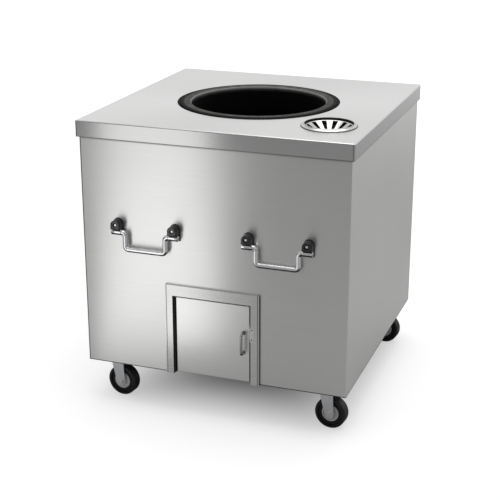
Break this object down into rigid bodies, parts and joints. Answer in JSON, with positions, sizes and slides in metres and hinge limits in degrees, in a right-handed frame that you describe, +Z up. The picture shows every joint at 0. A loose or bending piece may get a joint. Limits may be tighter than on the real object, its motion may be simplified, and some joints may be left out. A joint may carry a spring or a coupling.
{
  "type": "mobile clay tandoor oven",
  "caption": "Clay pot oven in a square stainless-steel cabinet with a fire door, swinging carry handles, a turning flue vent and swivel casters.",
  "frame": {"origin": "on the floor under the middle of the worktop", "axes": "+Z up, -Y towards the user at the fire door, +X to the right as the door is faced"},
  "size_m": [0.864, 0.908, 0.928],
  "materials": {
    "stainless": "satin",
    "bright_steel": "satin",
    "bright_chrome": "polished",
    "zinc": "satin",
    "dull_steel": "matte",
    "frame_paint": "matte",
    "firebrick": "matte",
    "clay": "matte",
    "wool": "matte",
    "cast_iron": "matte",
    "wheel_core": "satin",
    "tyre": "matte"
  },
  "bodies": {
    "cabinet": {"worktop": "stainless", "casing_wrap": "stainless", "back_panel": "stainless", "inner_frame": "frame_paint", "base_plate": "dull_steel", "hearth_block": "firebrick", "clay_pot": "clay", "insulation": "wool", "fire_tunnel": "dull_steel", "charcoal_grate": "cast_iron", "ash_pan": "dull_steel", "door_frame": "stainless", "strike_plate": "bright_steel", "strike_screws": "zinc", "hinge_frame_leaf": "bright_steel", "hinge_pin": "zinc", "vent_collar": "stainless", "vent_rivet": "bright_steel", "vent_duct": "dull_steel", "handle_screws": "bright_steel", "caster_bolts": "zinc", "brackets_fl": "bright_chrome", "brackets_fr": "bright_chrome", "brackets_bl": "bright_chrome", "brackets_br": "bright_chrome", "top_plate_fl": "zinc", "top_plate_fr": "zinc", "top_plate_bl": "zinc", "top_plate_br": "zinc"},
    "fire_door": {"hinge_door_leaf": "bright_steel", "door_panel": "stainless", "door_insulation": "wool", "door_liner": "dull_steel", "liner_rivets": "bright_steel", "door_pull": "bright_chrome", "bullet_catch": "bright_steel"},
    "vent_plate": {"vent_dish": "stainless"},
    "handle_fl": {"bail_fl": "bright_chrome"},
    "handle_fr": {"bail_fr": "bright_chrome"},
    "handle_bl": {"bail_bl": "bright_chrome"},
    "handle_br": {"bail_br": "bright_chrome"},
    "caster_fl": {"fork_fl": "zinc", "axle_fl": "bright_steel"},
    "caster_fr": {"fork_fr": "zinc", "axle_fr": "bright_steel"},
    "caster_bl": {"fork_bl": "zinc", "axle_bl": "bright_steel"},
    "caster_br": {"fork_br": "zinc", "axle_br": "bright_steel"},
    "wheel_fl": {"wheel_core_fl": "wheel_core", "tyre_fl": "tyre"},
    "wheel_fr": {"wheel_core_fr": "wheel_core", "tyre_fr": "tyre"},
    "wheel_bl": {"wheel_core_bl": "wheel_core", "tyre_bl": "tyre"},
    "wheel_br": {"wheel_core_br": "wheel_core", "tyre_br": "tyre"}
  },
  "joints": [
    {"name": "door_hinge", "type": "hinge", "parent": "cabinet", "child": "fire_door", "pos_m": [-0.1225, -0.4305, 0.268], "axis": [0, 0, -1], "range_deg": [0, 135]},
    {"name": "vent_turn", "type": "hinge", "parent": "cabinet", "child": "vent_plate", "pos_m": [0.304, -0.246, 0.908], "axis": [0, 0, 1], "range_deg": [0, 15]},
    {"name": "handle_fl_swing", "type": "hinge", "parent": "cabinet", "child": "handle_fl", "pos_m": [-0.21, -0.439, 0.585], "axis": [-1, 0, 0], "range_deg": [-5, 185]},
    {"name": "handle_fr_swing", "type": "hinge", "parent": "cabinet", "child": "handle_fr", "pos_m": [0.21, -0.439, 0.585], "axis": [-1, 0, 0], "range_deg": [-5, 185]},
    {"name": "handle_bl_swing", "type": "hinge", "parent": "cabinet", "child": "handle_bl", "pos_m": [-0.21, 0.439, 0.585], "axis": [1, 0, 0], "range_deg": [-5, 185]},
    {"name": "handle_br_swing", "type": "hinge", "parent": "cabinet", "child": "handle_br", "pos_m": [0.21, 0.439, 0.585], "axis": [1, 0, 0], "range_deg": [-5, 185]},
    {"name": "caster_fl_swivel", "type": "hinge", "parent": "cabinet", "child": "caster_fl", "pos_m": [-0.35, -0.35, 0.123], "axis": [0, 0, 1], "continuous": true},
    {"name": "caster_fr_swivel", "type": "hinge", "parent": "cabinet", "child": "caster_fr", "pos_m": [0.35, -0.35, 0.123], "axis": [0, 0, 1], "continuous": true},
    {"name": "caster_bl_swivel", "type": "hinge", "parent": "cabinet", "child": "caster_bl", "pos_m": [-0.35, 0.35, 0.123], "axis": [0, 0, 1], "continuous": true},
    {"name": "caster_br_swivel", "type": "hinge", "parent": "cabinet", "child": "caster_br", "pos_m": [0.35, 0.35, 0.123], "axis": [0, 0, 1], "continuous": true},
    {"name": "wheel_fl_roll", "type": "hinge", "parent": "caster_fl", "child": "wheel_fl", "pos_m": [-0.33807, -0.35125, 0.05], "axis": [0.1045, 0.9945, 0], "continuous": true},
    {"name": "wheel_fr_roll", "type": "hinge", "parent": "caster_fr", "child": "wheel_fr", "pos_m": [0.36193, -0.35125, 0.05], "axis": [0.1045, 0.9945, 0], "continuous": true},
    {"name": "wheel_bl_roll", "type": "hinge", "parent": "caster_bl", "child": "wheel_bl", "pos_m": [-0.33807, 0.34875, 0.05], "axis": [0.1045, 0.9945, 0], "continuous": true},
    {"name": "wheel_br_roll", "type": "hinge", "parent": "caster_br", "child": "wheel_br", "pos_m": [0.36193, 0.34875, 0.05], "axis": [0.1045, 0.9945, 0], "continuous": true}
  ]
}
